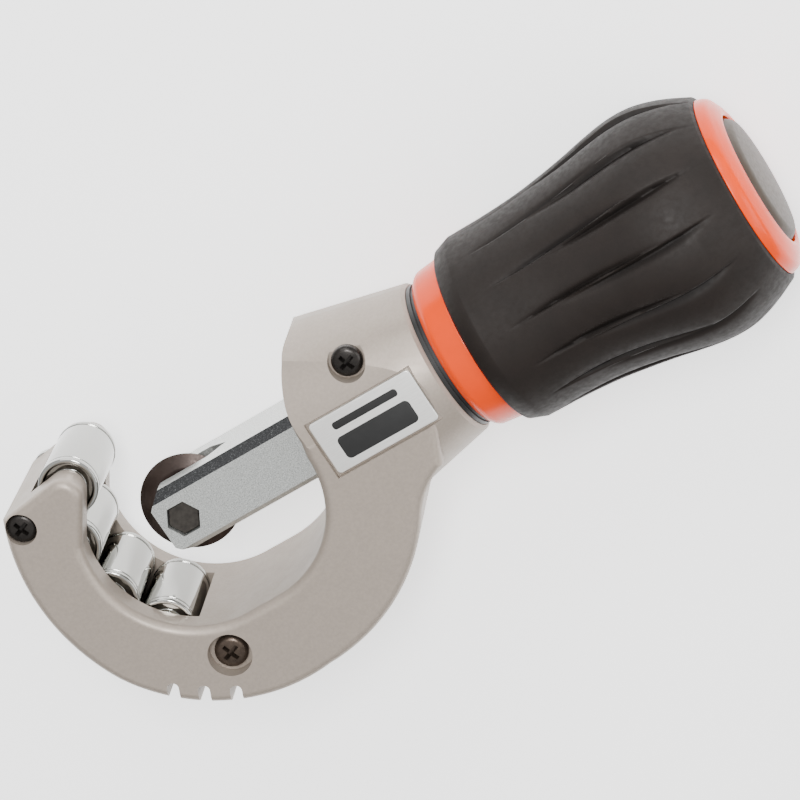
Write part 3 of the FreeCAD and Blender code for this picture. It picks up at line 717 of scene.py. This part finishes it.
def camera():
    """The camera. Gives back the directions towards it and up in its view."""
    data = bpy.data.cameras.new("camera")
    data.sensor_width = SENSOR_WIDTH
    data.lens = SENSOR_WIDTH * FOCAL_PER_WIDTH
    data.clip_end = 20.0
    piece = bpy.data.objects.new("camera", data)
    bpy.context.collection.objects.link(piece)
    back = CAMERA_RIGHT.cross(CAMERA_UP).normalized()
    up = back.cross(CAMERA_RIGHT).normalized()
    turn = Matrix((CAMERA_RIGHT, up, back)).transposed().to_4x4()
    piece.matrix_world = Matrix.Translation(CAMERA_PLACE) @ turn
    bpy.context.scene.camera = piece
    return back, up


def softbox(name, aim, direction, distance, size, power):
    """Rectangular light that looks at aim from a direction."""
    data = bpy.data.lights.new(name, "AREA")
    data.shape = "RECTANGLE"
    data.size, data.size_y = size
    data.energy = power
    piece = bpy.data.objects.new(name, data)
    bpy.context.collection.objects.link(piece)
    piece.location = aim + direction.normalized() * distance
    piece.rotation_euler = direction.to_track_quat("Z", "Y").to_euler()


def studio(back, up):
    """Three soft lights and the world behind them."""
    right = CAMERA_RIGHT
    aim = Vector((45, 0, 0)) * MM
    softbox("key", aim, -0.35 * right + 0.6 * up + 0.9 * back, 0.6, (0.36, 0.22), 1.3)
    softbox("fill", aim, 0.9 * right - 0.1 * up + 0.8 * back, 0.7, (0.5, 0.4), 2.0)
    softbox("front", aim, -0.1 * right + 0.05 * up + back, 0.9, (0.16, 0.34), 7.5)
    bpy.context.scene.world = dome(back)


def dome(bright):
    """World that is bright towards one direction and falls off to a dim grey behind it."""
    world = bpy.data.worlds.new("studio")
    world.use_nodes = True
    nodes = world.node_tree.nodes
    links = world.node_tree.links
    facing = nodes.new("ShaderNodeVectorMath")
    facing.operation = "DOT_PRODUCT"
    facing.inputs[1].default_value = bright
    links.new(nodes.new("ShaderNodeTexCoord").outputs["Generated"], facing.inputs[0])
    level = nodes.new("ShaderNodeMapRange")
    level.interpolation_type = "SMOOTHSTEP"
    for name, value in (("From Min", 0.0), ("From Max", 1.0), ("To Min", 0.15), ("To Max", 1.05)):
        level.inputs[name].default_value = value
    links.new(facing.outputs["Value"], level.inputs["Value"])
    links.new(level.outputs["Result"], nodes["Background"].inputs["Strength"])
    nodes["Background"].inputs["Color"].default_value = (1, 1, 1, 1)
    return world


def floor():
    """Plain pale floor under the knob, which is the lowest part of a cutter that lies on its side."""
    half = 3.0
    height = -GRIP_CROWN - 0.5 * MM
    bm = bmesh.new()
    bm.faces.new([bm.verts.new((sx * half, sy * half, height))
                  for sx, sy in ((-1, -1), (1, -1), (1, 1), (-1, 1))])
    piece = plain_object("floor", bm)
    material = bpy.data.materials.new("pale_floor")
    material.use_nodes = True
    shader = material.node_tree.nodes["Principled BSDF"]
    shader.inputs["Base Color"].default_value = (0.9, 0.9, 0.9, 1)
    shader.inputs["Roughness"].default_value = 0.85
    shader.inputs["Emission Color"].default_value = (1, 1, 1, 1)
    shader.inputs["Emission Strength"].default_value = 1.3
    piece.data.materials.append(material)


# ---------------------------------------------------------------- build

studio(*camera())
floor()
finish_cad_nodes()
for number in range(1, 5):
    roller(number)
wheel("ground_wheel", "Z", WHEEL_CENTRE, "wheel", "cutting_wheel")
SPARE = (Vector(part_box("spare_wheel")[0]) + Vector(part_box("spare_wheel")[1])) / 2
wheel("stored_wheel", "X", SPARE, "cap", "spare_wheel")
grip()
knob_core()
end_cap()
screw_head("screw_at_jaw", "jaw_screw", "black_steel", 1.55 * MM)
screw_head("screw_below", "lower_screw", "bronze_steel", 1.75 * MM)
screw_head("screw_at_barrel", "barrel_screw", "black_steel", 1.6 * MM)
badge()
hexagon_pin()
